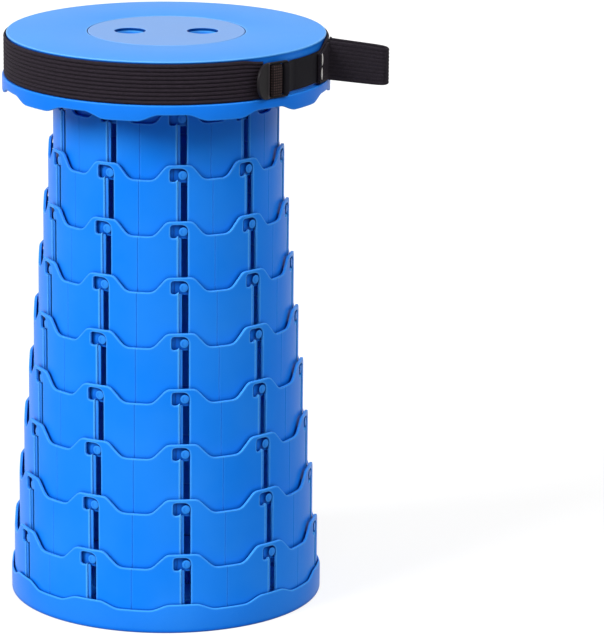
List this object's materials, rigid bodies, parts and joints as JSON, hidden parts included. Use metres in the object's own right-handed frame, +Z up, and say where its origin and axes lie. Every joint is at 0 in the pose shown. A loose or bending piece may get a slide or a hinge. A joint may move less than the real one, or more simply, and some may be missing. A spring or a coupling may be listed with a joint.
{
  "type": "collapsible telescopic stool",
  "caption": "Round-seat collapsible stool on a telescopic column of nested slotted sleeves with bayonet pins, a shallow base tray and a black carry strap.",
  "frame": {"origin": "centre of the base's flat underside, on its cap between the two finger holes", "axes": "+Z up along the column's axis; -Y is the front, where the picture looks from; +X points at the carry loop"},
  "size_m": [0.2976, 0.2538, 0.4491],
  "materials": {
    "sleeve_blue": "satin",
    "seat_blue": "satin",
    "elastic_black": "ribbed",
    "webbing_black": "woven",
    "buckle_black": "satin"
  },
  "bodies": {
    "base": {"base_tray": "sleeve_blue", "base_cap": "sleeve_blue", "sleeve_9": "sleeve_blue"},
    "stage_8": {"sleeve_8": "sleeve_blue"},
    "stage_7": {"sleeve_7": "sleeve_blue"},
    "stage_6": {"sleeve_6": "sleeve_blue"},
    "stage_5": {"sleeve_5": "sleeve_blue"},
    "stage_4": {"sleeve_4": "sleeve_blue"},
    "stage_3": {"sleeve_3": "sleeve_blue"},
    "stage_2": {"sleeve_2": "sleeve_blue"},
    "stage_1": {"sleeve_1": "sleeve_blue"},
    "seat": {"sleeve_0": "sleeve_blue", "seat_top": "seat_blue", "seat_cap": "seat_blue", "strap_band": "elastic_black", "handle_loop": "elastic_black", "strap_buckle": "buckle_black", "webbing_tail": "webbing_black", "buckle_tab": "webbing_black"}
  },
  "joints": [
    {"name": "sleeve_8_slide", "type": "slide", "parent": "base", "child": "stage_8", "axis": [0, 0, 1], "range_m": [-0.0429, 0]},
    {"name": "sleeve_7_slide", "type": "slide", "parent": "stage_8", "child": "stage_7", "axis": [0, 0, 1], "range_m": [-0.0429, 0]},
    {"name": "sleeve_6_slide", "type": "slide", "parent": "stage_7", "child": "stage_6", "axis": [0, 0, 1], "range_m": [-0.0429, 0]},
    {"name": "sleeve_5_slide", "type": "slide", "parent": "stage_6", "child": "stage_5", "axis": [0, 0, 1], "range_m": [-0.0429, 0]},
    {"name": "sleeve_4_slide", "type": "slide", "parent": "stage_5", "child": "stage_4", "axis": [0, 0, 1], "range_m": [-0.0429, 0]},
    {"name": "sleeve_3_slide", "type": "slide", "parent": "stage_4", "child": "stage_3", "axis": [0, 0, 1], "range_m": [-0.0429, 0]},
    {"name": "sleeve_2_slide", "type": "slide", "parent": "stage_3", "child": "stage_2", "axis": [0, 0, 1], "range_m": [-0.0429, 0]},
    {"name": "sleeve_1_slide", "type": "slide", "parent": "stage_2", "child": "stage_1", "axis": [0, 0, 1], "range_m": [-0.0429, 0]},
    {"name": "sleeve_0_slide", "type": "slide", "parent": "stage_1", "child": "seat", "axis": [0, 0, 1], "range_m": [-0.0401, 0]}
  ]
}
